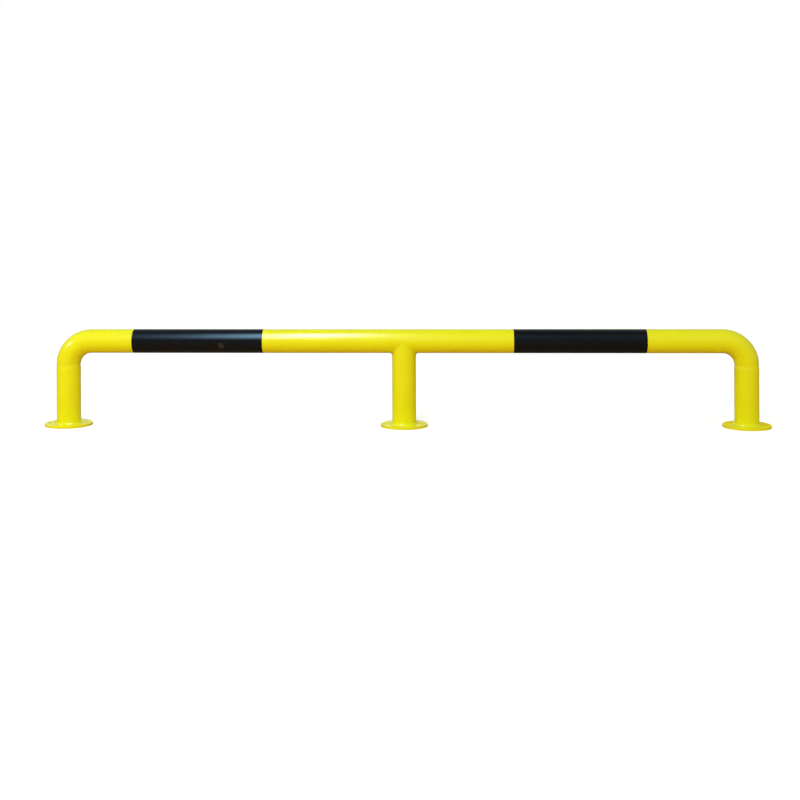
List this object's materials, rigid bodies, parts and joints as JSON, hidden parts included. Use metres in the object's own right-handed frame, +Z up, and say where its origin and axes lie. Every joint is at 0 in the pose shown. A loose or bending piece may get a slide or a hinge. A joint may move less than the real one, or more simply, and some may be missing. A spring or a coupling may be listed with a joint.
{
  "type": "barrier hoop",
  "caption": "Low floor-mounted barrier hoop: a long welded steel tube rail on legs with round base plates, glossy yellow with black film bands.",
  "frame": {"origin": "centre of the hoop's footprint, on the undersides of the base plates", "axes": "+X along the rail, from the left leg to the right leg as seen from the front; +Y to the back; +Z up"},
  "size_m": [2.3238, 0.15, 0.3107],
  "materials": {
    "yellow_coat": "gloss",
    "black_film": "gloss"
  },
  "bodies": {
    "root": {"top_rail": "yellow_coat", "elbow_left": "yellow_coat", "elbow_right": "yellow_coat", "leg_left": "yellow_coat", "leg_middle": "yellow_coat", "leg_right": "yellow_coat", "base_plate_left": "yellow_coat", "base_plate_middle": "yellow_coat", "base_plate_right": "yellow_coat", "weld_rail_elbow_left": "yellow_coat", "weld_rail_elbow_right": "yellow_coat", "weld_leg_elbow_left": "yellow_coat", "weld_leg_elbow_right": "yellow_coat", "weld_saddle_middle": "yellow_coat", "weld_foot_left": "yellow_coat", "weld_foot_middle": "yellow_coat", "weld_foot_right": "yellow_coat", "black_band_left": "black_film", "black_band_right": "black_film"}
  },
  "joints": []
}
